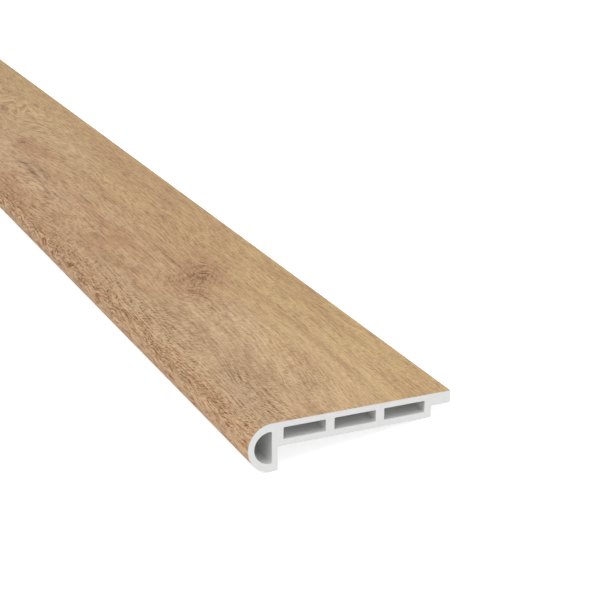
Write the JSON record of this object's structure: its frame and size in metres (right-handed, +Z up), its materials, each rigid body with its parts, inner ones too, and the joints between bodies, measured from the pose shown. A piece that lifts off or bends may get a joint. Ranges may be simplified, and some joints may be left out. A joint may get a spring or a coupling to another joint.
{
  "type": "flush stair nosing",
  "caption": "Hollow extruded stair nosing with a bullnose, a tread leg and a thin rear lip, wrapped on top in printed oak film; it edges a step flush with the floor.",
  "frame": {"origin": "on the floor, under the middle of the bar as it lies unheld", "axes": "+Y along the bar, +X from the nose to the rear lip, +Z up; the tread face leans down to the rear because the bar rests on the heel of its leg and the rear edge of its body"},
  "size_m": [0.1108, 1.2, 0.0256],
  "materials": {
    "white_pvc": "extruded rigid PVC, satin, saw-cut at the ends",
    "oak_print": "printed oak decor under a matt embossed wear layer"
  },
  "bodies": {
    "root": {"pvc_profile": "white_pvc", "wood_grain_film": "oak_print"}
  },
  "joints": []
}
